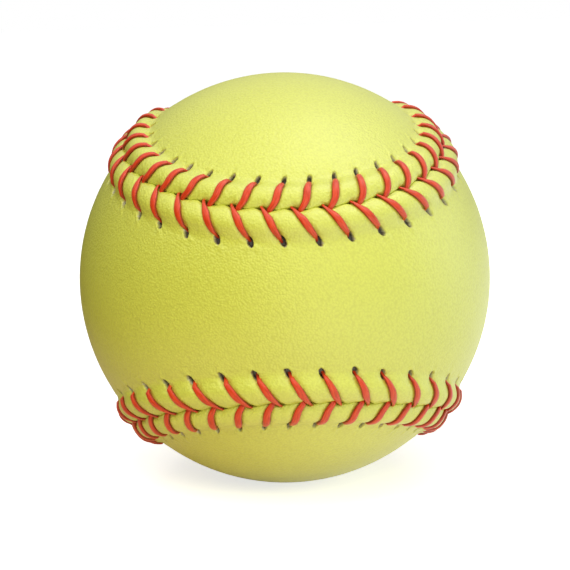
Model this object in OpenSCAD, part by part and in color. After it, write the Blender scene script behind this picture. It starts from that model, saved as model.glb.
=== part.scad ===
// A twelve inch training softball: a soft foam core in a fibre wrap, closed by two
// figure-eight leather panels whose rolled edges are laced together by two waxed threads.
// The seam runs along four equal circle arcs that meet at a tangent.

/* [Ball] */
// Diameter over the smooth part of the cover
ball_d = 96; // [90:0.5:130]
// Width of a cover panel at its waist, measured along the cover
waist_w = 42.7; // [36:0.1:50]

/* [Layers] */
// Thickness of the leather cover
cover_t = 1.5; // [1.2:0.1:1.8]
// Thickness of the fibre wrap under the cover
wrap_t = 4; // [3:0.5:8]
// Cement film between one layer and the next
cement_t = 0.1; // [0.05:0.05:0.2]

/* [Seam] */
// Rise of each rolled edge above the smooth cover
roll_rise = 2.1; // [1.6:0.1:2.5]
// Radius of a rolled edge, across the seam
roll_r = 3.3; // [3.1:0.1:3.8]
// Distance along the cover from the crease to the foot of a rolled edge
roll_w = 6.1; // [5.8:0.1:6.8]
// Gap between the two cut edges in the crease
crease_gap = 0.1; // [0.05:0.05:0.2]

/* [Stitching] */
// Stitches on each of the four arcs of the seam
arc_stitches = 20; // [18:1:22]
// Diameter of a stitch hole
hole_d = 1.8; // [1.6:0.1:2]
// Distance from the foot of a rolled edge to the edge of a stitch hole
hole_set = 0.1; // [0.1:0.05:0.4]
// Width of the flattened thread
thread_w = 1.5; // [1.2:0.1:1.6]
// Thickness of the flattened thread
thread_t = 1; // [0.8:0.1:1.1]
// Distance along the seam from a stitch's holes to its point in the crease
stitch_lean = 3.2; // [2.6:0.1:3.6]
// Clearance between the two threads where they pass in the crease
thread_gap = 0.25; // [0.2:0.05:0.4]
// Clearance between a thread and the leather that it passes
thread_fit = 0.16; // [0.12:0.02:0.2]

/* [Hidden] */
smooth_fn = 96;
small_fn = 24;

// Place of the first stitch on its arc, as a share of one stitch
first_share = 0.5;
// Drift of the hand sewing in stitches, behind over the upper half and ahead over the lower
drift_share = 0.245;

ball_r = ball_d / 2;
cover_in_r = ball_r - cover_t;
wrap_r = cover_in_r - cement_t;
wrap_in_r = wrap_r - wrap_t;
core_r = wrap_in_r - cement_t;
far_r = 2 * ball_r;

// Angles of the seam. Each arc is a circle round an axis that leans by tilt from the
// upright or from the sideways line, and neighbouring circles touch.
function along(w) = w / ball_r * 180 / PI;
waist_half = along(waist_w) / 2;
waist_cos = 2 * cos(2 * waist_half) + 1;
waist_sin = 2 * sin(2 * waist_half);
tilt = (acos(1 / norm([waist_cos, waist_sin])) - atan2(waist_sin, waist_cos)) / 2;
cap = 90 - tilt - waist_half;
half_turn = 90 + atan(sin(tilt));
stitch_count = 4 * arc_stitches;
stitch_step = 2 * half_turn / arc_stitches;
stitch_w = stitch_step * PI / 180 * ball_r * sin(cap);

// Section of a rolled edge: a round bend about a point below the cover
roll_at_r = ball_r + roll_rise - roll_r;
function half_chord(r, reach) =
    acos((roll_at_r * roll_at_r + reach * reach - r * r) / (2 * roll_at_r * reach));
roll_angle = along(roll_w) - half_chord(roll_r, ball_r);
roll_at_w = roll_angle * PI / 180 * ball_r;
gap_angle = along(crease_gap / 2);
lap = 3 * crease_gap;

// Height along an arc's axis of the points of the cover that lie w outside the arc
function beyond_h(w) = ball_r * cos(cap + along(w));

// Stitches: a hole stands at the foot of the roll, and a thread passes beside its twin
hole_at = roll_w + hole_set + hole_d / 2;
pass_w = (thread_w + thread_gap) / 2;
notch_l = 2 * pass_w + thread_w + 2 * thread_fit;
notch_w = thread_t + 4 * thread_fit;
channel_w = hole_at + hole_d / 2 + thread_fit;
channel_t = thread_t + 2.5 * thread_fit;
tuck_h = cover_t + cement_t + thread_t / 2 + thread_fit;
over_r = roll_r + thread_t / 2 + thread_fit;

// The seam is travelled as a count of stitches, round all four arcs and back to 0
function arc_of(m) = floor(m / arc_stitches) % 4;
function wrapped(m) = m - stitch_count * floor(m / stitch_count);
function drift(i) = max(-1, min(1, 2 * cos(360 * (i - arc_stitches / 2) / stitch_count)));
function stitch_at(i) = i + first_share - drift_share * drift(i);

// Odd arcs are travelled the other way round their axis
function sense(q) = q % 2 == 0 ? 1 : -1;
function turn(m) =
    sense(arc_of(m)) * ((m - arc_stitches * floor(m / arc_stitches)) * stitch_step - half_turn);

// Angle from the arc's axis of a point that lies w from the crease, on the rear panel's side
function lean(m, w) = cap - sense(arc_of(m)) * along(w);

// Places a point, given in the frame of the upper arc, on arc q
function on_arc(q, p) =
    q == 0 ? p :
    q == 1 ? [p.z, -p.y, p.x] :
    q == 2 ? [-p.x, p.y, -p.z] : [-p.z, -p.y, -p.x];

// Point of the seam: m stitches along, w across towards the rear panel, h above the cover
function seam_point(m0, w, h) =
    let (m = wrapped(m0))
    let (a = turn(m))
    let (b = lean(m, w))
    let (flat = [sin(b) * sin(a), -sin(b) * cos(a), cos(b)])
    let (back = flat.y * cos(tilt) - flat.z * sin(tilt))
    let (up = flat.y * sin(tilt) + flat.z * cos(tilt))
    (ball_r + h) * on_arc(arc_of(m), [flat.x, back, up]);

module place_arc(q) {
    if (q == 0) children();
    if (q == 1) rotate(180, [1, 0, 1]) children();
    if (q == 2) rotate(180, [0, 1, 0]) children();
    if (q == 3) rotate(180, [1, 0, -1]) children();
}

// Stands children on the cover at a point of the seam, with X along the seam and Z outwards
module at_seam(m0, w) {
    m = wrapped(m0);
    place_arc(arc_of(m))
        rotate([tilt, 0, 0])
            rotate([0, 0, turn(m)])
                rotate([lean(m, w), 0, 0])
                    children();
}

// Turns children from the upright to the axis of arc q and the start of that arc
module at_arc(q) {
    place_arc(q)
        rotate([tilt, 0, 0])
            rotate([0, 0, -90 - half_turn])
                children();
}

// Sweeps a half section along arc q, up to trim short of its ends
module sweep_arc(q, trim = 0) {
    at_arc(q)
        rotate_extrude(angle = 2 * (half_turn - trim), start = trim, $fn = smooth_fn)
            children();
}

module sector(from, to) {
    polygon([[0, 0], far_r * [sin(from), cos(from)], far_r * [sin(to), cos(to)]]);
}

module roll_disc(at, r) {
    translate(roll_at_r * [sin(at), cos(at)])
        circle(r = r, $fn = smooth_fn);
}

// Half section of the leather between two angles from an arc's axis, with its rolled edge
module leather_section(from, to, roll_at) {
    difference() {
        intersection() {
            union() {
                circle(r = ball_r, $fn = smooth_fn * 2);
                roll_disc(roll_at, roll_r);
            }
            sector(from, to);
        }
        circle(r = cover_in_r, $fn = smooth_fn * 2);
        roll_disc(roll_at, roll_r - cover_t);
    }
}

// Lobe of the rear panel, inside arc q
module lobe(q) {
    sweep_arc(q)
        leather_section(0, cap - gap_angle, cap - roll_angle);
}

// Rolled edge of the rear panel's waist, outside arc q, which stops a hair short of the lobes
module waist_edge(q) {
    sweep_arc(q, 2 * gap_angle)
        intersection() {
            leather_section(cap + gap_angle, 90, cap + roll_angle);
            translate([0, beyond_h(roll_w + 2 * lap)]) square(far_r);
        }
}

// All that lies on the other side of the edge of the waist along arc q
module beyond_waist(q) {
    at_arc(q)
        translate([0, 0, beyond_h(roll_w + lap)])
            cylinder(h = far_r, r = far_r, $fn = smooth_fn);
}

// Wedge behind the axis of arc q, from a little before the ends of the arc
module back_wedge(q) {
    half = 180 - half_turn + along(lap);
    edge = far_r * [sin(half), cos(half)];
    place_arc(q)
        rotate([tilt, 0, 0])
            linear_extrude(height = 2 * far_r, center = true)
                polygon([[0, 0], edge, [0, far_r], [-edge.x, edge.y]]);
}

// Ball with its poles at the sides, where the waist is cut away, and its closing line in front
module sideways_ball(r) {
    rotate([-90, 0, 0])
        rotate([0, 90, 0])
            sphere(r = r, $fn = smooth_fn * 2);
}

// Waist of the rear panel, a hair thinner than the lobes and rolled edges that it is let into
module waist() {
    difference() {
        intersection() {
            difference() {
                sideways_ball(ball_r - crease_gap / 2);
                sideways_ball(cover_in_r + crease_gap / 2);
            }
            union() {
                back_wedge(0);
                back_wedge(2);
            }
        }
        beyond_waist(1);
        beyond_waist(3);
    }
}

// Holes of one panel and the notches where both threads dive through the crease
module stitch_cuts(side) {
    cut_h = cover_t + 2 * roll_rise;
    for (i = [0 : stitch_count - 1]) {
        at_seam(stitch_at(i) + stitch_lean / stitch_w, side * hole_at)
            translate([0, 0, cover_in_r - cement_t])
                cylinder(d = hole_d, h = cut_h, $fn = small_fn);
        at_seam(stitch_at(i), 0)
            translate([-notch_l / 2, -notch_w / 2, cover_in_r - cement_t])
                cube([notch_l, notch_w, cut_h]);
    }
}

module panel_blank() {
    union() {
        waist();
        waist_edge(1);
        waist_edge(3);
        lobe(0);
        lobe(2);
    }
}

module cover_panel_rear() {
    color("#d6db45")
        difference() {
            panel_blank();
            stitch_cuts(1);
        }
}

module cover_panel_front() {
    color("#dde04c")
        difference() {
            rotate(180, [1, 0, 1]) panel_blank();
            stitch_cuts(-1);
        }
}

module core() {
    color("#8f8a80")
        sphere(r = core_r, $fn = smooth_fn * 2);
}

// Sunk channel under the seam, in which the hidden runs of the threads lie
module thread_channel(q) {
    sweep_arc(q)
        difference() {
            sector(cap - along(channel_w), cap + along(channel_w));
            circle(r = wrap_r - channel_t, $fn = smooth_fn * 2);
        }
}

module cushion_wrap() {
    color("#e6e0d0")
        difference() {
            sphere(r = wrap_r, $fn = smooth_fn * 2);
            sphere(r = wrap_in_r, $fn = smooth_fn * 2);
            for (q = [0 : 3]) thread_channel(q);
        }
}

// Path of one thread over one stitch: out of the hole, over the roll, down the crease and
// under the other panel. side is 1 where the visible leg lies on the rear panel.
over_angles = [52, 16, -24];
// Height at the crease of the roll's face over its middle, and of the leather over the
// smooth cover, where a wide roll ends short of the crease
roll_face_h = sqrt(max(0, roll_r * roll_r - roll_at_w * roll_at_w));
crease_h = max(0, roll_rise - roll_r + roll_face_h);
function over_w(a) = roll_at_w + over_r * sin(a);
function over_h(a) = roll_rise - roll_r + over_r * cos(a);
function leg_shift(w, side) =
    let (share = w / hole_at)
    stitch_lean * share + side * pass_w * (1 - share);
function leg_point(i, side, w, h) =
    seam_point(stitch_at(i) + leg_shift(w, side) / stitch_w, side * w, h);
function dive_point(i, side, w, h) =
    seam_point(stitch_at(i) + side * pass_w / stitch_w, side * w, h);
function stitch_path(i, side) = [
    leg_point(i, side, hole_at, -tuck_h),
    leg_point(i, side, hole_at, -thread_t / 4),
    for (a = over_angles) leg_point(i, side, over_w(a), over_h(a)),
    dive_point(i, side, notch_w / 8, crease_h + thread_t / 2),
    dive_point(i, side, -notch_w / 8, -tuck_h)
];

// The legs alternate between the panels, and the sewing goes on towards lower counts
function thread_side(i, first) = (i + first) % 2 == 0 ? 1 : -1;
function thread_path(first) = [
    for (i = [stitch_count - 1 : -1 : 0])
        for (p = stitch_path(i, thread_side(i, first))) p
];

// Sweeps a six-sided flattened section along a closed path of points over the ball
function unit(v) = v / norm(v);
section_angles = [0 : 60 : 300];
leg_points = len(over_angles) + 4;
function ring(path, k) =
    let (n = len(path))
    let (p = path[k])
    let (ahead = unit(path[(k + 1) % n] - p))
    let (behind = unit(p - path[(k + n - 1) % n]))
    let (run = unit(ahead + behind))
    let (next = path[(k + 2 * leg_points) % n])
    let (along_seam = unit(cross(unit(p), unit(cross(unit(p), next - p)))))
    let (side = unit(along_seam - run * (along_seam * run)))
    let (rise = cross(run, side))
    [for (a = section_angles) p + side * (thread_w / 2 * cos(a)) + rise * (thread_t / 2 * sin(a))];

module thread_tube(path) {
    n = len(path);
    sides = 6;
    points = [for (k = [0 : n - 1]) each ring(path, k)];
    faces = [
        for (k = [0 : n - 1])
            for (j = [0 : sides - 1])
                let (a = k * sides + j)
                let (b = k * sides + (j + 1) % sides)
                let (c = ((k + 1) % n) * sides + (j + 1) % sides)
                let (d = ((k + 1) % n) * sides + j)
                each [[a, c, b], [a, d, c]]
    ];
    polyhedron(points = points, faces = faces);
}

module stitch_thread_a() {
    color("#dd3a26")
        thread_tube(thread_path(0));
}

module stitch_thread_b() {
    color("#c9301f")
        thread_tube(thread_path(1));
}

core();
cushion_wrap();
cover_panel_front();
cover_panel_rear();
stitch_thread_a();
stitch_thread_b();
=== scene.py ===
"""Looks of a laced leather training softball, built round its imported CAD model.

The two figure-eight leather panels and the two lacing threads are modelled here in full
detail. The fibre wrap and the foam core keep their CAD shapes and get their finishes.
Sizes are in millimetres and turned to metres where a mesh or a pattern is made, apart from
the studio's, which are in metres.
"""

from __future__ import annotations

import logging
import math
from collections.abc import Callable
from dataclasses import dataclass, field
from enum import Enum
from functools import cached_property

import bpy
import numpy as np
from mathutils import Euler, Matrix, Vector

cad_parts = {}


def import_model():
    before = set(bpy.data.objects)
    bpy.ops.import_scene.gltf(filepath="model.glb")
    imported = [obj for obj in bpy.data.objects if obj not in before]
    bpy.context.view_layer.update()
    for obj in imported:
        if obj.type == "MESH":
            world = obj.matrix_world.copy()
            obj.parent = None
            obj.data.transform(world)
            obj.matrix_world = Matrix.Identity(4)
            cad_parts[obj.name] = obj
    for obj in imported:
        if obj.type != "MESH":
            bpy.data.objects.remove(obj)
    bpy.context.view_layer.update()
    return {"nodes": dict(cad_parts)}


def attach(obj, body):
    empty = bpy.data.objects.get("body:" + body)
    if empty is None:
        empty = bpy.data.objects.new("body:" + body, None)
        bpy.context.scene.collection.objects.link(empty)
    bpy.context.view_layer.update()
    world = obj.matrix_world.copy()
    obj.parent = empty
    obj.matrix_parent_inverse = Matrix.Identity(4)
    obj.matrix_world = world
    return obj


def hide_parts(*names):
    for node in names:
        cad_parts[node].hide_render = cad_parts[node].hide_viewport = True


LOG = logging.getLogger("softball")
MM = 0.001
BODY = "root"
ARCS = 4
# Settings that several nodes share
COLOURS = {"data_type": "RGBA"}
SMOOTH = {"interpolation_type": "SMOOTHSTEP"}
RIDGED = {"noise_type": "RIDGED_MULTIFRACTAL"}
TIMES = {"operation": "MULTIPLY"}


class Side(Enum):
    """Side of the seam that a leather panel or a leg of thread lies on."""

    REAR = 1
    FRONT = -1


def smooth_step(low: float, high: float, x: np.ndarray) -> np.ndarray:
    """Rises smoothly from 0 at low to 1 at high."""
    t = np.clip((x - low) / (high - low), 0, 1)
    return t * t * (3 - 2 * t)


def bell(x: np.ndarray, width: float) -> np.ndarray:
    """Falls from 1 at nought towards 0, and is at 0.37 at the given width."""
    return np.exp(-((x / width) ** 2))


# Sizes of the ball


@dataclass(frozen=True)
class BallSizes:
    """Driving sizes of the ball, as the CAD source states them."""

    ball_d: float = 96.0
    waist_w: float = 42.7
    cover_t: float = 1.5
    roll_rise: float = 2.1
    roll_r: float = 3.3
    roll_w: float = 6.1
    crease_gap: float = 0.1
    arc_stitches: int = 20
    first_share: float = 0.5
    drift_share: float = 0.245
    stitch_lean: float = 3.2
    hole_at: float = 7.1
    pass_w: float = 0.875
    tuck_h: float = 2.26
    # How far the leather falls towards the crease, as a share of a round roll's fall, and
    # where on the roll that fall ends
    shoulder_share: float = 0.6
    shoulder_reach: float = 0.97
    # Height over which the roll runs out softly into the panel
    foot_fillet: float = 1.5

    @property
    def ball_r(self) -> float:
        """Radius over the smooth part of the cover."""
        return self.ball_d / 2

    @property
    def stitches(self) -> int:
        """Stitches round the whole seam."""
        return ARCS * self.arc_stitches

    @property
    def roll_at_w(self) -> float:
        """Distance from the crease to the middle of the roll, along the cover."""
        at = self.ball_r + self.roll_rise - self.roll_r
        chord = math.acos((at**2 + self.ball_r**2 - self.roll_r**2) / (2 * at * self.ball_r))
        return self.roll_w - chord * self.ball_r

    def face_h(self, w: np.ndarray) -> np.ndarray:
        """Height of the leather's face over the smooth cover, at distance w from the crease.

        The roll is fuller on the side of the crease, where the two edges press against each
        other, and runs out into the panel in a soft foot.
        """
        off = np.asarray(w, dtype=float) - self.roll_at_w
        straight_from = self.roll_r * math.sin(math.pi / 4)
        inside = np.clip(off, -self.shoulder_reach * self.roll_r, straight_from)
        fall = self.roll_r - np.sqrt(self.roll_r**2 - inside**2)
        outer_fall = fall + np.maximum(off - straight_from, 0)
        roll = self.roll_rise - np.where(off < 0, fall * self.shoulder_share, outer_fall)
        share = np.clip(1 - np.abs(roll) / self.foot_fillet, 0, 1)
        return np.maximum(roll, 0) + share**2 * self.foot_fillet / 4

    def face_points(self, w: np.ndarray, above: float = 0.0) -> np.ndarray:
        """Points over the leather's face.

        Args:
            w: Distances from the crease, in order.
            above: Height over the face, square to it.

        Returns:
            Rows of distance, height, and the two parts of the outward normal.
        """
        w = np.asarray(w, dtype=float)
        step = 0.02
        slope = (self.face_h(w + step) - self.face_h(w - step)) / (2 * step)
        size = np.sqrt(1 + slope**2)
        across, up = -slope / size, 1 / size
        return np.stack([w + above * across, self.face_h(w) + above * up, across, up], axis=1)


@dataclass
class Seam:
    """The closed seam of four equal circle arcs, travelled as a count of stitches."""

    sizes: BallSizes = field(default_factory=BallSizes)

    def along(self, w: np.ndarray | float) -> np.ndarray | float:
        """Angle in radians of a length w on the smooth cover."""
        return w / self.sizes.ball_r

    @cached_property
    def tilt(self) -> float:
        """Lean of each arc's axis from the upright or from the sideways line."""
        half = self.along(self.sizes.waist_w) / 2
        across = 2 * math.cos(2 * half) + 1
        rise = 2 * math.sin(2 * half)
        return (math.acos(1 / math.hypot(across, rise)) - math.atan2(rise, across)) / 2

    @cached_property
    def cap(self) -> float:
        """Angle from an arc's axis to the arc."""
        return math.pi / 2 - self.tilt - self.along(self.sizes.waist_w) / 2

    @cached_property
    def half_turn(self) -> float:
        """Half of the turn that an arc makes about its axis."""
        return math.pi / 2 + math.atan(math.sin(self.tilt))

    @cached_property
    def pitch(self) -> float:
        """Length of one stitch along the seam."""
        step = 2 * self.half_turn / self.sizes.arc_stitches
        return step * self.sizes.ball_r * math.sin(self.cap)

    def stitch_at(self, s: np.ndarray | float) -> np.ndarray:
        """Place in equal parts of the seam of stitch s, with the slow drift of hand sewing."""
        z = self.sizes
        wave = 2 * np.cos(2 * np.pi * (np.asarray(s) - z.arc_stitches / 2) / z.stitches)
        return s + z.first_share - z.drift_share * np.clip(wave, -1, 1)

    def point(self, m: np.ndarray, w: np.ndarray, h: np.ndarray) -> np.ndarray:
        """Points of the seam's neighbourhood.

        Args:
            m: Place along the seam, in equal parts of it.
            w: Distance across the cover towards the rear panel.
            h: Height above the smooth cover.

        Returns:
            Points in metres, with the coordinates in the last axis.
        """
        m, w, h = np.broadcast_arrays(m, w, h)
        per_arc = self.sizes.arc_stitches
        m = np.mod(m, self.sizes.stitches)
        arc = np.floor(m / per_arc).astype(int) % ARCS
        sense = np.where(arc % 2 == 0, 1.0, -1.0)
        step = 2 * self.half_turn / per_arc
        turn = sense * ((m - per_arc * np.floor(m / per_arc)) * step - self.half_turn)
        lean = self.cap - sense * self.along(w)
        flat_y = -np.sin(lean) * np.cos(turn)
        flat_z = np.cos(lean)
        x = np.sin(lean) * np.sin(turn)
        y = flat_y * math.cos(self.tilt) - flat_z * math.sin(self.tilt)
        z = flat_y * math.sin(self.tilt) + flat_z * math.cos(self.tilt)
        upper, right = np.stack([x, y, z], axis=-1), np.stack([z, -y, x], axis=-1)
        lower, left = np.stack([-x, y, -z], axis=-1), np.stack([-z, -y, -x], axis=-1)
        place = np.select([arc[..., None] == k for k in range(ARCS)], [upper, right, lower, left])
        return (self.sizes.ball_r + h)[..., None] * place * MM


@dataclass
class Stitching:
    """Where each stitch's hole and dive fall, with the small scatter of hand sewing."""

    seam: Seam
    seed: int = 12
    # Spread and greatest size of the scatter at the holes and at the dives
    hole_scatter: tuple[float, float] = (0.13, 0.3)
    dive_scatter: tuple[float, float] = (0.1, 0.2)
    pull_limits: tuple[float, float] = (0.85, 1.15)
    # Wave of each leg, and the place where it leaves the face for its hole
    bend: float = 0.16
    entry_at: float = 6.1
    # Hooks of the legs along the crease, and how far from it they reach
    front_hook: float = 0.35
    rear_hook: float = -0.5
    hook_w: float = 0.95
    # Slow drift of the dives, as the sewer's pull changes along an arc
    dive_drift: float = 0.8
    # How far the legs draw the crease from side to side, and how far from it that reaches
    scallop: float = 0.36
    scallop_w: float = 2.2

    def __post_init__(self) -> None:
        """Draws the scatter of every stitch once."""
        rng = np.random.default_rng(self.seed)
        shape = (2, self.seam.sizes.stitches)
        pairs = (self.hole_scatter, self.hole_scatter, self.dive_scatter)
        self.hole_along, self.hole_across, self.dive_along = (
            rng.normal(0, spread, shape).clip(-most, most) for spread, most in pairs
        )
        self.turn = rng.uniform(0, 2 * np.pi, shape)
        self.pull = rng.uniform(*self.pull_limits, shape)

    @property
    def dives(self) -> tuple[float, float]:
        """Places of a stitch's front and rear dive, in stitches from its middle."""
        pass_w = self.seam.sizes.pass_w
        front, rear = -(pass_w + self.front_hook), pass_w + self.rear_hook
        return front / self.seam.pitch, rear / self.seam.pitch

    def row(self, side: Side) -> int:
        """Row of the scatter tables that belongs to a side."""
        return 0 if side is Side.REAR else 1

    def drift(self, s: np.ndarray) -> np.ndarray:
        """Shift of the dives near place s, along the seam."""
        turn = 2 * np.pi * (s - self.seam.sizes.arc_stitches / 4) / self.seam.sizes.arc_stitches
        return self.dive_drift * (np.cos(turn) - 1) / 2

    def base_shift(self, side: Side, w: np.ndarray) -> np.ndarray:
        """Shift along the seam of a leg at distance w, without its scatter."""
        z = self.seam.sizes
        share = np.clip(w / z.hole_at, 0, 1)
        lean = z.stitch_lean * share + side.value * z.pass_w * (1 - share)
        hook = self.rear_hook if side is Side.REAR else -self.front_hook
        wave = self.bend * np.sin(2 * np.pi * np.clip(w / self.entry_at, 0, 1))
        return lean + wave + hook * bell(w, self.hook_w)

    def shift(self, side: Side, i: np.ndarray, w: np.ndarray) -> np.ndarray:
        """Shift along the seam of the leg of stitch i at distance w, with its scatter."""
        row = self.row(side)
        share = np.clip(w / self.entry_at, 0, 1)
        at_dive = self.dive_along[row][i] + self.drift(i)
        return self.base_shift(side, w) + self.hole_along[row][i] * share + at_dive * (1 - share)

    def nearest(self, side: Side, s: np.ndarray, w: np.ndarray) -> tuple[np.ndarray, np.ndarray]:
        """Nearest leg to a place on a panel.

        Args:
            side: The panel.
            s: Place along the seam, counted in stitches.
            w: Distance from the crease.

        Returns:
            The stitch and the distance along the seam from its leg.
        """
        pitch = self.seam.pitch
        near = np.round(s - self.base_shift(side, w) / pitch)
        i = np.mod(near, self.seam.sizes.stitches).astype(int)
        return i, (s - near) * pitch - self.shift(side, i, w)

    def pulled(self, side: Side, s: np.ndarray, w: np.ndarray) -> np.ndarray:
        """Distance w from the crease at place s, after the legs have drawn it from side to side."""
        front, rear = self.dives
        step = rear - front
        phase = np.mod(s - front - self.drift(s) / self.seam.pitch, 1.0)
        between = 1 - 2 * phase / step
        onward = 2 * (phase - step) / (1 - step) - 1
        wave = np.sin(np.where(phase < step, between, onward) * np.pi / 2)
        return w + side.value * self.scallop * wave * bell(w, self.scallop_w)


# Mesh helpers


def deselect_all() -> None:
    """Leaves nothing selected, because an operator acts on all that is."""
    bpy.ops.object.select_all(action="DESELECT")


def select_only(obj: bpy.types.Object) -> None:
    """Makes an object the one selected and active object."""
    deselect_all()
    obj.select_set(True)
    bpy.context.view_layer.objects.active = obj


def bent_grid(
    name: str, points: np.ndarray, marks: dict[str, np.ndarray] | None = None
) -> bpy.types.Object:
    """Adds a flat grid and bends it to the given points.

    Args:
        name: Name of the new object.
        points: Rows by columns by coordinates, in metres.
        marks: Values for each point, kept on the mesh under their names.

    Returns:
        The bent grid.
    """
    rows, columns = points.shape[:2]
    deselect_all()
    bpy.ops.mesh.primitive_grid_add(x_subdivisions=columns - 1, y_subdivisions=rows - 1, size=1)
    obj = bpy.context.object
    mesh = obj.data
    obj.name = mesh.name = name
    if len(mesh.vertices) != rows * columns:
        raise ValueError(f"{name}: the grid has {len(mesh.vertices)} points, not {rows * columns}")
    mesh.vertices.foreach_set("co", points.reshape(-1).astype(np.float32))
    for mark, values in (marks or {}).items():
        layer = mesh.attributes.new(mark, "FLOAT", "POINT")
        layer.data.foreach_set("value", np.ascontiguousarray(values, dtype=np.float32).reshape(-1))
    mesh.update()
    return obj


def edit_all(obj: bpy.types.Object, operator: Callable, **settings: object) -> None:
    """Runs an operator on the whole mesh of an object in edit mode."""
    select_only(obj)
    bpy.ops.object.mode_set(mode="EDIT")
    bpy.ops.mesh.select_all(action="SELECT")
    operator(**settings)
    bpy.ops.object.mode_set(mode="OBJECT")


def merge_points(obj: bpy.types.Object, distance: float) -> None:
    """Merges points up to a distance apart, such as the two ends of a bent grid."""
    edit_all(obj, bpy.ops.mesh.remove_doubles, threshold=distance)


def join(parts: list[bpy.types.Object], name: str) -> bpy.types.Object:
    """Joins parts into the first of them and names it."""
    whole = parts[0]
    select_only(whole)
    for part in parts[1:]:
        part.select_set(True)
    bpy.ops.object.join()
    whole.name = whole.data.name = name
    return whole


def key_of(p: np.ndarray) -> tuple[int, int, int]:
    """Key of a point in metres, to a tenth of a micrometre."""
    return tuple(int(round(float(v) * 1e7)) for v in np.float32(p))


def bridge(obj: bpy.types.Object, first: np.ndarray, second: np.ndarray) -> None:
    """Bridges two open edges of one object.

    Args:
        obj: The object that holds both edges.
        first: Points of one edge, in metres.
        second: Points of the other edge, in metres.
    """
    mesh = obj.data
    co = np.empty(len(mesh.vertices) * 3, dtype=np.float32)
    mesh.vertices.foreach_get("co", co)
    pairs = np.empty(len(mesh.edges) * 2, dtype=np.int32)
    mesh.edges.foreach_get("vertices", pairs)
    loops = np.empty(len(mesh.loops), dtype=np.int32)
    mesh.loops.foreach_get("edge_index", loops)
    wanted = {key_of(p) for p in np.concatenate([first.reshape(-1, 3), second.reshape(-1, 3)])}
    chosen = np.array([key_of(p) in wanted for p in co.reshape(-1, 3)])
    uses = np.bincount(loops, minlength=len(mesh.edges))
    pairs = pairs.reshape(-1, 2)
    open_edges = (uses == 1) & chosen[pairs[:, 0]] & chosen[pairs[:, 1]]
    select_only(obj)
    bpy.ops.object.mode_set(mode="EDIT")
    bpy.ops.mesh.select_mode(type="EDGE")
    bpy.ops.mesh.select_all(action="DESELECT")
    bpy.ops.object.mode_set(mode="OBJECT")
    mesh.edges.foreach_set("select", open_edges)
    bpy.ops.object.mode_set(mode="EDIT")
    bpy.ops.mesh.bridge_edge_loops()
    bpy.ops.mesh.select_mode(type="VERT")
    bpy.ops.object.mode_set(mode="OBJECT")


def finish_mesh(obj: bpy.types.Object) -> None:
    """Points the faces of a closed piece outwards and shades them smooth."""
    edit_all(obj, bpy.ops.mesh.normals_make_consistent, inside=False)
    bpy.ops.object.shade_smooth()
    deselect_all()


def wear(mesh: bpy.types.Mesh, finish: bpy.types.Material) -> None:
    """Gives a mesh one finish and no other."""
    mesh.materials.clear()
    mesh.materials.append(finish)


# Materials


def linear(hex_colour: str) -> tuple[float, float, float, float]:
    """Turns an sRGB hex colour into linear red, green and blue with a full alpha."""
    parts = [int(hex_colour[k : k + 2], 16) / 255 for k in (1, 3, 5)]
    line = [c / 12.92 if c <= 0.04045 else ((c + 0.055) / 1.055) ** 2.4 for c in parts]
    return (*line, 1.0)


@dataclass
class Graph:
    """Node tree of a material or of the world, emptied to start with."""

    tree: bpy.types.NodeTree

    def __post_init__(self) -> None:
        """Empties the tree."""
        self.tree.nodes.clear()

    def add(self, kind: str, settings: dict | None = None, **inputs: object) -> bpy.types.Node:
        """Adds a node with its settings and links.

        Args:
            kind: Type of the node, without its usual prefix.
            settings: Properties of the node.
            inputs: What goes into it, as feed takes it.

        Returns:
            The new node.
        """
        node = self.tree.nodes.new("ShaderNode" + kind)
        for key, value in (settings or {}).items():
            setattr(node, key, value)
        self.feed(node, **inputs)
        return node

    def feed(self, node: bpy.types.Node, **inputs: object) -> None:
        """Sets or links the inputs of a node.

        Args:
            node: The node.
            inputs: Values, output sockets, or nodes for their first output, each under its
                input's name with _ for a space, or under i and the input's number.
        """
        for key, value in inputs.items():
            by_number = key[0] == "i" and key[1:].isdigit()
            socket = node.inputs[int(key[1:]) if by_number else key.replace("_", " ")]
            if isinstance(value, bpy.types.Node):
                value = value.outputs[0]
            if isinstance(value, bpy.types.NodeSocket):
                self.tree.links.new(value, socket)
            else:
                socket.default_value = value


class MaterialGraph(Graph):
    """Node tree of a new material, which starts with a surface shader and its output."""

    def __init__(self, name: str) -> None:
        """Makes a material of the given name."""
        self.material = bpy.data.materials.new(name)
        self.material.use_nodes = True
        super().__init__(self.material.node_tree)
        self.surface = self.add("BsdfPrincipled")
        self.out = self.add("OutputMaterial", Surface=self.surface)


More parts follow.
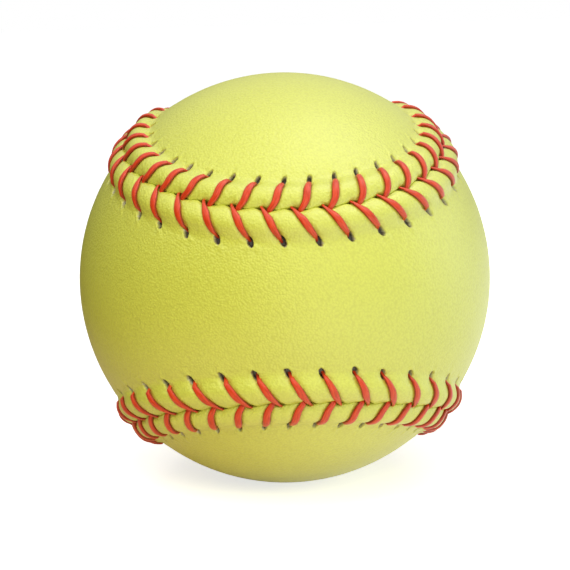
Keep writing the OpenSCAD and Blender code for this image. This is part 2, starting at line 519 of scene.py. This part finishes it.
@dataclass(frozen=True)
class LeatherFinish:
    """Full-grain cowhide, dyed optic yellow, embossed with a fine pebble and top-coated."""

    name: str
    colour: str = "#D8DD50"
    pale: str = "#DEE362"
    deep: str = "#CDD242"
    valley: str = "#AFAE2C"
    # Painted shade beside the legs
    painted_leg_shade: str = "#B4782C"
    raw: str = "#CFC8B0"
    # Painted shade deep in the punched holes
    pit: str = "#2A2117"
    tone_mm: float = 22.0
    fold_mm: float = 1.3
    fold_deep: float = 0.16
    warp_mm: float = 3.0
    warp_by: float = 0.5
    # The real pebble and pores are a little finer, and are drawn as coarse as they need to show
    pebble_mm: float = 0.5
    pebble_deep: float = 0.16
    pore_mm: float = 0.26
    pore_deep: float = 0.03

    def build(self) -> bpy.types.Material:
        """Makes the material, which reads the marks of a panel's edge."""
        # Broad and pale in the light, saturated in the shade: the top coat gives a soft sheen
        # that the pebble breaks up, and the valleys between the pebbles are a shade darker
        g = MaterialGraph(self.name)
        place = g.add("TexCoord").outputs["Object"]
        mark = {
            name: g.add("Attribute", {"attribute_name": name}).outputs["Fac"]
            for name in ("raw", "pit", "pucker", "painted_leg_shade")
        }
        broad = g.add("TexNoise", Vector=place, Scale=1 / (self.tone_mm * MM), Detail=2.0)
        grain = g.add(
            "TexVoronoi",
            {"feature": "SMOOTH_F1"},
            Vector=self.warped(g, place),
            Scale=1 / (self.pebble_mm * MM),
            Smoothness=0.6,
        ).outputs["Distance"]
        fine = {"Scale": 1 / (self.pore_mm * MM), "Detail": 3.0, "Roughness": 0.6}
        pore = g.add("TexNoise", Vector=place, **fine)
        between = g.add("MapRange", Value=grain, From_Min=0.25, From_Max=0.75, To_Max=0.26)
        # Painted shade beside each leg, where the thread meets the leather
        leg_shade_share = g.add("Math", TIMES, i0=mark["painted_leg_shade"], i1=0.4)
        tone = g.add("Mix", COLOURS, Factor=broad, i6=linear(self.deep), i7=linear(self.pale))
        # Each layer of colour lies over the one before it. The brown beside the legs and the
        # dark deep in the holes are painted shade
        layers = (
            (0.7, self.colour),
            (between, self.valley),
            (leg_shade_share, self.painted_leg_shade),
            (mark["raw"], self.raw),
            (mark["pit"], self.pit),
        )
        for share, colour in layers:
            tone = g.add("Mix", COLOURS, Factor=share, i6=tone.outputs[2], i7=linear(colour))
        crumple = g.add("TexNoise", RIDGED, Vector=place, Scale=1 / (self.fold_mm * MM), Detail=3.0)
        folds = g.add("Math", TIMES, i0=crumple, i1=mark["pucker"])
        # Valleys between the pebbles lie far from their middles, so the pebble's bump is inverted
        bumps = g.add("Bump", Strength=0.7, Distance=self.fold_deep * MM, Height=folds)
        for height, deep, strength, inverted in (
            (grain, self.pebble_deep, 0.75, True),
            (pore, self.pore_deep, 0.4, False),
        ):
            shape = {"Strength": strength, "Distance": deep * MM, "Height": height}
            bumps = g.add("Bump", {"invert": inverted}, **shape, Normal=bumps)
        rough = g.add("MapRange", Value=pore, To_Min=0.4, To_Max=0.52)
        gloss = {"IOR": 1.6, "Specular_IOR_Level": 1.0, "Coat_Weight": 0.5, "Coat_Roughness": 0.45}
        g.feed(g.surface, Base_Color=tone.outputs[2], Roughness=rough, Normal=bumps, **gloss)
        return g.material

    def warped(self, g: Graph, place: bpy.types.NodeSocket) -> bpy.types.Node:
        """Bends coordinates a little, so that the pebble isn't regular."""
        noise = g.add("TexNoise", Vector=place, Scale=1 / (self.warp_mm * MM), Detail=1.0)
        scale = {"operation": "SCALE"}
        offset = g.add("VectorMath", scale, i0=noise.outputs["Color"], Scale=self.warp_by * MM)
        return g.add("VectorMath", {"operation": "ADD"}, i0=place, i1=offset)


@dataclass(frozen=True)
class ThreadFinish:
    """Waxed cotton lacing thread: red fibres laid lengthwise under a satin film of wax."""

    name: str
    colour: str = "#DA4018"
    light: str = "#E4522A"
    dark: str = "#C23614"
    # Painted shade along the thread's edges
    edge: str = "#8A2A10"
    strand_mm: float = 0.26
    streak_mm: float = 4.0
    strand_deep: float = 0.04

    def build(self, round_mm: float, length_mm: float) -> bpy.types.Material:
        """Makes the material.

        Args:
            round_mm: Way round the thread, which the pattern's first coordinate spans.
            length_mm: Length of the thread, which its second coordinate spans.

        Returns:
            The material.
        """
        # Orange red with faint long streaks, a narrow shine of wax along the middle, and
        # painted shade along the edges, where the flattened thread is pressed into the leather
        g = MaterialGraph(self.name)
        place = g.add("TexCoord").outputs["UV"]
        size = (round_mm / self.strand_mm, length_mm / self.streak_mm, 1.0)
        laid = g.add("Mapping", Vector=place, Scale=size)
        strand = g.add("TexNoise", Vector=laid, Scale=1.0, Detail=3.0, Roughness=0.6)
        tone = g.add("ValToRGB", Fac=strand)
        ramp = tone.color_ramp
        ramp.elements[0].position, ramp.elements[0].color = 0.32, linear(self.dark)
        ramp.elements[1].position, ramp.elements[1].color = 0.66, linear(self.light)
        ramp.elements.new(0.5).color = linear(self.colour)
        around = g.add("SeparateXYZ", Vector=place).outputs["X"]
        angle = g.add("Math", TIMES, i0=around, i1=2 * math.pi)
        side = g.add("Math", {"operation": "COSINE"}, i0=angle)
        flat = g.add("Math", {"operation": "ABSOLUTE"}, i0=side)
        # Painted shade along both edges of the flattened thread
        edge_shade = g.add("MapRange", SMOOTH, Value=flat, From_Min=0.72, From_Max=1.0, To_Max=0.75)
        shaded = g.add("Mix", COLOURS, Factor=edge_shade, i6=tone, i7=linear(self.edge))
        bump = g.add("Bump", Strength=0.3, Distance=self.strand_deep * MM, Height=strand)
        wax = {"Roughness": 0.3, "IOR": 1.5, "Specular_IOR_Level": 0.55}
        fuzz = {"Sheen_Weight": 0.05, "Sheen_Roughness": 0.4}
        g.feed(g.surface, Base_Color=shaded.outputs[2], Normal=bump, **wax, **fuzz)
        return g.material


@dataclass(frozen=True)
class FibreFinish:
    """Undyed cotton fibre wound in all directions and stiffened with cement."""

    name: str
    colour: str = "#D8CFB8"
    dark: str = "#A89C80"
    tangle_mm: float = 1.6
    tangle_deep: float = 0.2

    def build(self) -> bpy.types.Material:
        """Makes the material."""
        # Dull, off-white and tangled, with darker gaps between the fibres
        g = MaterialGraph(self.name)
        place = g.add("TexCoord").outputs["Object"]
        wound = {"Scale": 1 / (self.tangle_mm * MM), "Detail": 4.0, "Distortion": 1.5}
        tangle = g.add("TexNoise", RIDGED, Vector=place, **wound)
        tone = g.add("Mix", COLOURS, Factor=tangle, i6=linear(self.dark), i7=linear(self.colour))
        bump = g.add("Bump", Strength=0.7, Distance=self.tangle_deep * MM, Height=tangle)
        dull = {"Roughness": 0.9, "Sheen_Weight": 0.2}
        g.feed(g.surface, Base_Color=tone.outputs[2], Normal=bump, **dull)
        return g.material


@dataclass(frozen=True)
class FoamFinish:
    """Moulded soft foam with a fine closed skin of small cells."""

    name: str
    colour: str = "#8F877A"
    cell: str = "#6F685D"
    cell_mm: float = 0.9
    cell_deep: float = 0.1

    def build(self) -> bpy.types.Material:
        """Makes the material."""
        # Matt grey brown, with the small round cells of the foam just in sight
        g = MaterialGraph(self.name)
        place = g.add("TexCoord").outputs["Object"]
        cells = g.add("TexVoronoi", Vector=place, Scale=1 / (self.cell_mm * MM)).outputs["Distance"]
        tone = g.add("Mix", COLOURS, Factor=cells, i6=linear(self.cell), i7=linear(self.colour))
        bump = g.add("Bump", Strength=0.5, Distance=self.cell_deep * MM, Height=cells)
        g.feed(g.surface, Base_Color=tone.outputs[2], Roughness=0.8, Normal=bump)
        return g.material


# Leather panels


@dataclass(frozen=True)
class LacedEdge:
    """What the legs and the punched holes do to the leather of an edge."""

    # Dent under a leg, and its half width
    dent: float = 0.36
    dent_w: float = 1.2
    # Swelling between two legs
    puff: float = 0.1
    # Hollow where a leg goes into its hole: depth, place and reach along and across the seam
    dip: float = 0.16
    dip_at: float = 6.6
    dip_along: float = 1.6
    dip_across: float = 1.1
    # Half length, half width and depth of a hole, and its lean along the seam
    hole_long: float = 0.98
    hole_wide: float = 0.6
    hole_deep: float = 1.36
    hole_lean: float = 0.3
    # Raised lip on the far side of a hole, which lies at this share of its size
    lip: float = 0.08
    lip_at: float = 1.5
    lip_w: float = 0.35
    # Small folds round a hole
    fold: float = 0.07
    folds: int = 5
    fold_at: float = 2.2
    fold_w: float = 0.9
    # How far the crease opens where the legs dive
    open_w: float = 0.22
    # Below this height nothing in the crease is moved
    wall_h: float = -0.2


@dataclass
class CoverPanel:
    """One figure-eight leather panel with its rolled, laced edge."""

    name: str
    node: str
    side: Side
    stitching: Stitching
    edge: LacedEdge = field(default_factory=LacedEdge)
    # Columns in a stitch at the edge and in the patches, and rows across a patch
    columns: int = 24
    coarse: int = 4
    patch_rows: int = 24
    # The smooth middle starts this far from the crease, and the lining this far
    middle_from: float = 12.2
    lining_from: float = 0.7

    @property
    def sizes(self) -> BallSizes:
        """Driving sizes of the ball."""
        return self.stitching.seam.sizes

    @property
    def seam(self) -> Seam:
        """The seam that the panel is laced along."""
        return self.stitching.seam

    def section(self) -> np.ndarray:
        """Half section of the leather's outer face.

        Returns:
            Rows of distance from the crease, height, and the two parts of the outward normal.
        """
        gap = self.sizes.crease_gap / 2
        wall = [(gap, h, -1.0, 0.0) for h in (-self.sizes.cover_t, -0.9, -0.3, 0.2, 0.6, 0.9)]
        roll = np.concatenate([[0.14, 0.3], np.linspace(0.55, 5.0, 15)])
        foot = np.linspace(5.2, 9.0, 17)
        out = [9.4, 10.0, 10.8]
        return np.concatenate([wall, self.sizes.face_points(np.concatenate([roll, foot, out]))])

    def columns_at(self) -> np.ndarray:
        """Places of all columns in stitches, crowded at the holes, with the first again."""
        n = self.sizes.stitches
        hole_at, hole_reach, crowding = 0.48, 0.13, 1.9
        fine = np.linspace(0, 1, 400)
        weight = 1 + crowding * bell(fine - hole_at, hole_reach)
        total = np.concatenate([[0], np.cumsum(weight[1:] + weight[:-1])])
        even = np.linspace(0, 1, self.columns, endpoint=False)
        one = np.interp(even, total / total[-1], fine)
        return np.append((np.arange(n)[:, None] + one[None, :]).reshape(-1), float(n))

    def around_hole(self, s: np.ndarray, w: np.ndarray, i: np.ndarray) -> tuple[np.ndarray, ...]:
        """Places as seen from the nearest hole.

        Args:
            s: Place along the seam, in stitches.
            w: Distance from the crease.
            i: Number of the nearest stitch.

        Returns:
            Distance from the hole's middle as a share of its size, distance outwards from it,
            and bearing.
        """
        row = self.stitching.row(self.side)
        hole_at = self.sizes.hole_at
        out = w - (hole_at + self.stitching.hole_across[row][i])
        aside = self.stitching.nearest(self.side, s, np.full_like(w, hole_at))[1]
        aside = aside - self.edge.hole_lean * out
        ring = np.sqrt((aside / self.edge.hole_wide) ** 2 + (out / self.edge.hole_long) ** 2)
        return ring, out, np.arctan2(aside, out)

    def strip(self) -> tuple[np.ndarray, dict[str, np.ndarray]]:
        """Laced edge of the panel.

        Returns:
            Points by row and column, and the marks that the finish reads.
        """
        # A smooth step runs between two heights, distances from the crease or shares of a
        # hole's size, and lets an effect fade out where the next one starts
        rows, e = self.section(), self.edge
        s = np.repeat(self.columns_at()[None, :], len(rows), axis=0)
        w = np.repeat(rows[:, :1], s.shape[1], axis=1)
        h = np.repeat(rows[:, 1:2], s.shape[1], axis=1)
        i, gone = self.stitching.nearest(self.side, s, w)
        row = self.stitching.row(self.side)
        free = h > e.wall_h
        on_roll = smooth_step(-0.4, 0.5, h) * (1 - smooth_step(6.0, 7.6, w)) * free
        puff = e.puff * (0.5 - 0.5 * np.cos(2 * np.pi * gone / self.seam.pitch))
        dent = e.dent * self.stitching.pull[row][i] * np.exp(-((np.abs(gone) / e.dent_w) ** 3))
        dent = dent * (1 - smooth_step(6.2, 7.4, w)) * free
        dip = e.dip * bell(gone, e.dip_along) * bell(w - e.dip_at, e.dip_across)
        ring, out, bearing = self.around_hole(s, w, i)
        pit = 1 - smooth_step(0.9, 1.08, ring)
        lip = e.lip * bell(ring - e.lip_at, e.lip_w) * smooth_step(-0.2, 0.8, out)
        fold = e.fold * np.cos(e.folds * bearing + self.stitching.turn[row][i])
        fold = fold * bell(ring - e.fold_at, e.fold_w) * smooth_step(5.8, 6.8, w)
        lift = on_roll * puff - dent - dip + lip + fold
        sunk = np.minimum(lift * (1 - pit), lift) - pit * e.hole_deep
        lift = np.where(pit > 0, sunk, lift)
        lift[[0, -1]] = 0.0
        w = self.opened(s, w + rows[:, 2:3] * lift)
        h = h + rows[:, 3:4] * lift
        points = self.seam.point(self.seam.stitch_at(s), self.side.value * w, h)
        return points, self.marks(w, gone, ring, pit)

    def marks(
        self, w: np.ndarray, gone: np.ndarray, ring: np.ndarray, pit: np.ndarray
    ) -> dict[str, np.ndarray]:
        """Marks that the finish reads: raw leather, painted shade in holes and beside legs, folds.

        Args:
            w: Distance from the crease.
            gone: Distance along the seam from the nearest leg.
            ring: Distance from the nearest hole's middle, as a share of its size.
            pit: How far a place belongs to a hole, from 0 to 1.

        Returns:
            The marks, each from 0 to 1.
        """
        by_hole = bell(ring - 1.0, 2.4) * smooth_step(4.5, 6.5, w)
        by_leg = bell(np.abs(gone) - 1.3, 0.7) * smooth_step(1.2, 3.2, w)
        by_leg = by_leg * (1 - smooth_step(6.0, 7.0, w))
        return {
            "raw": smooth_step(0.02, 0.15, pit) * 0.9,
            # Painted shade deep in each hole
            "pit": smooth_step(0.25, 0.75, pit),
            # Painted shade beside each leg, short of the holes
            "painted_leg_shade": np.exp(-(gone**4)) * (1 - smooth_step(6.0, 6.6, w)),
            "pucker": np.maximum(by_hole, 0.7 * by_leg),
        }

    def opened(self, s: np.ndarray, w: np.ndarray) -> np.ndarray:
        """Distance w after the legs have pulled at the crease and opened it at the dives."""
        dive_reach, reach = 1.3, 1.2
        moved = self.stitching.pulled(self.side, s, w)
        middle = sum(self.stitching.dives) / 2 + self.stitching.drift(s) / self.seam.pitch
        gone = (np.mod(s - middle + 0.5, 1.0) - 0.5) * self.seam.pitch
        return moved + self.edge.open_w * np.exp(-((gone / dive_reach) ** 4)) * bell(w, reach)

    def patch(self, w: float, h: float) -> np.ndarray:
        """Smooth middle of the panel, inside the ring at distance w.

        Args:
            w: Distance of its edge from the crease.
            h: Height of the whole patch above the cover.

        Returns:
            Points by row and column, in metres.
        """
        total = self.sizes.stitches * self.coarse
        start = self.sizes.arc_stitches * (0.5 if self.side is Side.REAR else 1.5)
        m = start + np.arange(total) / self.coarse
        ring = self.seam.point(m, self.side.value * w, np.float64(h))
        half, short = self.patch_rows // 2, self.patch_rows
        long_way = total // 2 - short
        left = ring[(np.arange(short + 1) - half) % total]
        top = ring[(half + np.arange(long_way + 1)) % total]
        right = ring[(half + long_way + np.arange(short + 1)) % total][::-1]
        bottom = ring[(-half - np.arange(long_way + 1)) % total]
        u = np.linspace(0, 1, long_way + 1)[None, :, None]
        v = np.linspace(0, 1, short + 1)[:, None, None]
        ruled = (1 - v) * bottom[None] + v * top[None]
        ends = (1 - u) * left[:, None] + u * right[:, None]
        low = (1 - u) * bottom[0] + u * bottom[-1]
        high = (1 - u) * top[0] + u * top[-1]
        net = ruled + ends - ((1 - v) * low + v * high)
        return net / np.linalg.norm(net, axis=-1, keepdims=True) * (self.sizes.ball_r + h) * MM

    def rim(self, net: np.ndarray) -> np.ndarray:
        """Points along the four sides of a net."""
        return np.concatenate([net[0], net[-1], net[:, 0], net[:, -1]])

    def build(self) -> None:
        """Models the panel as one closed piece of leather and hangs it on the ball."""
        points, marks = self.strip()
        outer = self.patch(self.middle_from, 0.0)
        inner = self.patch(self.lining_from, -self.sizes.cover_t)
        parts = [
            bent_grid(self.name + "_edge", points, marks),
            bent_grid(self.name + "_middle", outer),
            bent_grid(self.name + "_lining", inner),
        ]
        panel = join(parts, self.name)
        merge_points(panel, 1e-6)
        bridge(panel, points[-1], self.rim(outer))
        bridge(panel, points[0], self.rim(inner))
        finish_mesh(panel)
        wear(panel.data, LeatherFinish(f"cowhide_optic_yellow_{self.side.name.lower()}").build())
        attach(panel, BODY)
        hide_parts(self.node)
        LOG.info("%s: %d faces", self.name, len(panel.data.polygons))


# Lacing


@dataclass
class LacingThread:
    """One endless thread, whose legs lie in turn on the front and on the rear panel."""

    name: str
    node: str
    first: int
    stitching: Stitching
    thick: float = 0.84
    wide: float = 1.7
    narrow: float = 1.0
    sides: int = 12
    # Height of the thread's middle over the leather's face
    proud: float = 0.07
    # How much a front leg narrows towards its dive, and how far from the crease that starts
    point_share: float = 0.5
    point_w: float = 1.2
    # Width at which the thread has its full thickness, and the least share of it
    full_at: float = 1.25
    thin_share: float = 0.6
    # How square the section is: 1 is an ellipse and 0 a box
    roundness: float = 0.9
    # Way round the thread as a share of the way round its box
    round_share: float = 0.8

    def leg_section(self) -> np.ndarray:
        """Way of one leg across the seam.

        Returns:
            Rows of distance from the crease, height and width of the thread.
        """
        z = self.stitching.seam.sizes
        hole = [(6.9, -z.tuck_h, 1.2), (6.5, -1.6, 1.05), (6.3, -1.0, 0.95), (6.15, -0.45, 0.95)]
        over = z.face_points(np.linspace(5.7, 0.5, 15), self.proud)
        swell = np.sin(np.pi * np.linspace(0.06, 0.9, len(over))) ** 0.7
        width = self.narrow + (self.wide - self.narrow) * swell
        dive = [(0.1, 1.16, 1.3), (-0.25, 0.86, 1.3), (-0.48, 0.35, 1.25)]
        tuck = [(-0.5, -0.4, 1.2), (-0.42, -1.4, 1.2), (-0.5, -z.tuck_h, 1.25)]
        return np.concatenate([hole, np.column_stack([over[:, :2], width]), dive, tuck])

    def path(self) -> tuple[np.ndarray, np.ndarray]:
        """Points of the middle line and the thread's width at each, in metres."""
        seam = self.stitching.seam
        rows = self.leg_section()
        from_crease = np.clip(rows[:, 0], 0, None)
        points, widths = [], []
        for i in range(seam.sizes.stitches - 1, -1, -1):
            side = Side.REAR if (i + self.first) % 2 == 0 else Side.FRONT
            s = i + self.stitching.shift(side, np.full(len(rows), i), from_crease) / seam.pitch
            w = self.stitching.pulled(side, s, rows[:, 0])
            points.append(seam.point(seam.stitch_at(s), side.value * w, rows[:, 1]))
            pointed = self.point_share * bell(from_crease, self.point_w) * (side is Side.FRONT)
            widths.append(rows[:, 2] * (1 - pointed) * MM)
        return np.concatenate(points), np.concatenate(widths)

    def rings(self, path: np.ndarray, widths: np.ndarray) -> np.ndarray:
        """Sections of the thread.

        Args:
            path: Points of its middle line.
            widths: Its width at each.

        Returns:
            Points by ring and by place round it, with the first ring again at the end.
        """
        ahead = np.roll(path, -1, axis=0) - path
        ahead /= np.linalg.norm(ahead, axis=1, keepdims=True)
        run = ahead + np.roll(ahead, 1, axis=0)
        run /= np.linalg.norm(run, axis=1, keepdims=True)
        # The flat of the thread keeps to the seam's direction, which the next leg but one shows
        onward = np.roll(path, -2 * len(self.leg_section()), axis=0) - path
        out = path / np.linalg.norm(path, axis=1, keepdims=True)
        flat = onward - out * np.sum(onward * out, axis=1, keepdims=True)
        side = flat - run * np.sum(flat * run, axis=1, keepdims=True)
        side /= np.linalg.norm(side, axis=1, keepdims=True)
        rise = np.cross(run, side)
        angles = np.linspace(0, 2 * np.pi, self.sides + 1)
        c = np.sign(np.cos(angles)) * np.abs(np.cos(angles)) ** self.roundness
        s = np.sign(np.sin(angles)) * np.abs(np.sin(angles)) ** self.roundness
        half_t = self.thick / 2 * MM * np.clip(widths / (self.full_at * MM), self.thin_share, 1)
        aside = side[:, None] * widths[:, None, None] / 2 * c[None, :, None]
        above = rise[:, None] * half_t[:, None, None] * s[None, :, None]
        rings = path[:, None] + aside + above
        return np.concatenate([rings, rings[:1]])

    def build(self) -> None:
        """Models the thread as one closed loop and hangs it on the ball."""
        path, widths = self.path()
        thread = bent_grid(self.name, self.rings(path, widths))
        merge_points(thread, 1e-7)
        finish_mesh(thread)
        length = float(np.sum(np.linalg.norm(np.roll(path, -1, axis=0) - path, axis=1)))
        around = 2 * (self.thick + self.wide) * self.round_share
        wear(thread.data, ThreadFinish(f"waxed_cotton_{self.name}").build(around, length / MM))
        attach(thread, BODY)
        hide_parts(self.node)
        LOG.info("%s: %.2f m long, %d faces", self.name, length, len(thread.data.polygons))


# Hidden layers


@dataclass
class InnerLayers:
    """Fibre wrap and foam core, which keep their CAD shapes."""

    nodes: dict[str, bpy.types.Object]

    def dress(self) -> None:
        """Gives both layers their finishes."""
        finishes = {
            "cushion_wrap": FibreFinish("cotton_fibre_in_cement").build(),
            "core": FoamFinish("moulded_soft_foam").build(),
        }
        for node, finish in finishes.items():
            wear(self.nodes[node].data, finish)
            LOG.info("%s: CAD shape kept", node)


# Studio


@dataclass(frozen=True)
class Lamp:
    """A soft square lamp that faces the ball, with places in metres and power in watts."""

    name: str
    place: tuple[float, float, float]
    size: float
    power: float
    tint: str
    # A lamp behind a polarising sheet lights the ball and doesn't show in its gloss
    glints: bool

    def build(self) -> None:
        """Hangs the lamp."""
        data = bpy.data.lights.new(self.name, "AREA")
        data.size = self.size
        data.energy = self.power
        data.color = linear(self.tint)[:3]
        lamp = bpy.data.objects.new(self.name, data)
        lamp.visible_glossy = self.glints
        lamp.location = self.place
        lamp.rotation_euler = (-Vector(self.place)).to_track_quat("-Z", "Y").to_euler()
        bpy.context.scene.collection.objects.link(lamp)


@dataclass
class Studio:
    """Pale floor, soft lights and the camera at the photograph's angle."""

    sizes: BallSizes
    # Turn of the camera in radians, its distance in radii of the ball, and what it sees
    turn: tuple[float, float, float] = (0.14521, -0.02947, 0.04123)
    far: float = 10.261
    disc_px: float = 205.2
    frame_px: float = 570.0
    centre_px: tuple[float, float] = (284.8, 277.4)
    sensor_mm: float = 36.0
    nearest: float = 0.01
    floor_size: float = 8.0
    # Glow of the floor to the camera, near the ball and far from it, where the card is white
    glow_from: tuple[float, float] = (0.06, 0.5)
    glow: tuple[float, float] = (0.68, 0.93)
    # The card shows in the gloss to the right of this far from the middle
    gloss_edge: float = 0.03
    # Colours of the light that the card throws up, from the left to the right
    card_span: tuple[float, float] = (-0.3, 0.15)
    card: tuple[tuple[float, str], ...] = ((0.33, "#7A6440"), (0.53, "#F8E0BC"), (0.93, "#EEF2E0"))
    card_seen: str = "#F3F1ED"
    # Strength of the light all round, and the side that is white in the gloss
    ambient: float = 0.09
    white_side: tuple[float, float, float] = (0.35, 0.0, 0.94)
    white_from: tuple[float, float] = (-0.1, 0.7)
    lamps: tuple[Lamp, ...] = (
        Lamp("key_front", (0.12, -0.88, 0.38), 0.6, 3.7, "#FCFFFC", False),
        Lamp("top", (0.32, -0.12, 0.83), 0.8, 3.1, "#FFFFFF", True),
        Lamp("right", (0.9, 0.1, 0.12), 0.6, 1.4, "#F4FFF8", True),
        Lamp("fill_left", (-0.42, -0.45, 0.72), 0.6, 4.7, "#FFFCF0", False),
    )

    def camera(self) -> None:
        """Stands the camera where the photograph was taken from."""
        back = Euler(self.turn, "XYZ").to_matrix().transposed()
        data = bpy.data.cameras.new("camera")
        cam = bpy.data.objects.new("camera", data)
        bpy.context.scene.collection.objects.link(cam)
        place = back @ Vector((0, -self.far * self.sizes.ball_r * MM, 0))
        level = back @ Matrix.Rotation(math.pi / 2, 3, "X")
        cam.matrix_world = Matrix.Translation(place) @ level.to_4x4()
        focal_px = self.disc_px * math.sqrt(self.far**2 - 1)
        data.sensor_width = self.sensor_mm
        data.lens = focal_px / self.frame_px * self.sensor_mm
        data.shift_x = (self.frame_px / 2 - self.centre_px[0]) / self.frame_px
        data.shift_y = (self.centre_px[1] - self.frame_px / 2) / self.frame_px
        data.clip_start = self.nearest
        bpy.context.scene.camera = cam

    def shown(self, g: Graph, white_part: bpy.types.Node) -> tuple[bpy.types.Node, bpy.types.Node]:
        """Picks the rays that see the background as white.

        Args:
            g: Graph of the floor's material or of the world.
            white_part: Share of it that is white in the gloss.

        Returns:
            Share of the camera's and see-through rays alone, and with the glossy rays.
        """
        path = g.add("LightPath").outputs
        greatest = {"operation": "MAXIMUM"}
        straight = g.add("Math", greatest, i0=path["Is Camera Ray"], i1=path["Is Transmission Ray"])
        gloss = g.add("Math", TIMES, i0=path["Is Glossy Ray"], i1=white_part)
        return straight, g.add("Math", greatest, i0=straight, i1=gloss)

    def floor(self) -> None:
        """Lays the card that the ball rests on."""
        deselect_all()
        low = -self.sizes.ball_r * MM
        bpy.ops.mesh.primitive_plane_add(size=self.floor_size, location=(0, 0, low))
        floor = bpy.context.object
        floor.name = "floor"
        bpy.ops.object.transform_apply(location=True, rotation=True, scale=True)
        # Dull white card: the camera sees plain white with the ball's shadow, and the ball gets
        # a warm bounce from the left that turns neutral towards the right
        g = MaterialGraph("matt_white_card")
        place = g.add("TexCoord").outputs["Object"]
        across = g.add("SeparateXYZ", Vector=place).outputs["X"]
        span = {"From_Min": self.card_span[0], "From_Max": self.card_span[1]}
        bounce = g.add("ValToRGB", Fac=g.add("MapRange", Value=across, **span))
        stops = bounce.color_ramp.elements
        stops[0].position, stops[0].color = self.card[0][0], linear(self.card[0][1])
        stops[1].position, stops[1].color = self.card[2][0], linear(self.card[2][1])
        stops.new(self.card[1][0]).color = linear(self.card[1][1])
        edge = {"From_Min": -self.gloss_edge, "From_Max": self.gloss_edge}
        right = g.add("MapRange", SMOOTH, Value=across, **edge)
        straight, seen = self.shown(g, right)
        card = g.add("Mix", COLOURS, Factor=straight, i6=bounce, i7=linear(self.card_seen))
        g.feed(g.surface, Base_Color=card.outputs[2], Roughness=0.9, Specular_IOR_Level=0.1)
        away = g.add("VectorMath", {"operation": "LENGTH"}, i0=place).outputs["Value"]
        spread = {"From_Min": self.glow_from[0], "From_Max": self.glow_from[1]}
        spread |= {"To_Min": self.glow[0], "To_Max": self.glow[1]}
        strength = g.add("MapRange", Value=away, **spread)
        glow = g.add("Emission", Color=(0.97, 0.98, 1.0, 1), Strength=strength)
        both = g.add("AddShader", i0=g.surface, i1=glow)
        mix = g.add("MixShader", i0=seen, i1=g.surface, i2=both)
        g.feed(g.out, Surface=mix)
        floor.data.materials.append(g.material)

    def world(self) -> None:
        """Surrounds the ball with dim light that is white to the camera and in the gloss."""
        world = bpy.data.worlds.new("studio")
        bpy.context.scene.world = world
        world.use_nodes = True
        g = Graph(world.node_tree)
        place = g.add("TexCoord").outputs["Generated"]
        way = g.add("VectorMath", {"operation": "DOT_PRODUCT"}, i0=place, i1=self.white_side)
        span = {"From_Min": self.white_from[0], "From_Max": self.white_from[1]}
        bright = g.add("MapRange", SMOOTH, Value=way.outputs["Value"], **span)
        seen = self.shown(g, bright)[1]
        soft = g.add("Background", Color=(1.0, 0.98, 0.95, 1), Strength=self.ambient)
        white = g.add("Background", Color=(1, 1, 1, 1), Strength=1.0)
        mix = g.add("MixShader", i0=seen, i1=soft, i2=white)
        g.add("OutputWorld", Surface=mix)

    def build(self) -> None:
        """Sets up the whole studio."""
        self.camera()
        self.floor()
        self.world()
        for lamp in self.lamps:
            lamp.build()
        bpy.context.scene.view_settings.view_transform = "Standard"


def main() -> None:
    """Builds the ball and its studio."""
    logging.basicConfig(level=logging.INFO, format="%(name)s: %(message)s")
    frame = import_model()
    sizes = BallSizes()
    stitching = Stitching(Seam(sizes))
    InnerLayers(frame["nodes"]).dress()
    CoverPanel("leather_panel_rear", "cover_panel_rear", Side.REAR, stitching).build()
    CoverPanel("leather_panel_front", "cover_panel_front", Side.FRONT, stitching).build()
    LacingThread("lacing_a", "stitch_thread_a", 0, stitching).build()
    LacingThread("lacing_b", "stitch_thread_b", 1, stitching).build()
    Studio(sizes).build()


if __name__ == "__main__":
    main()
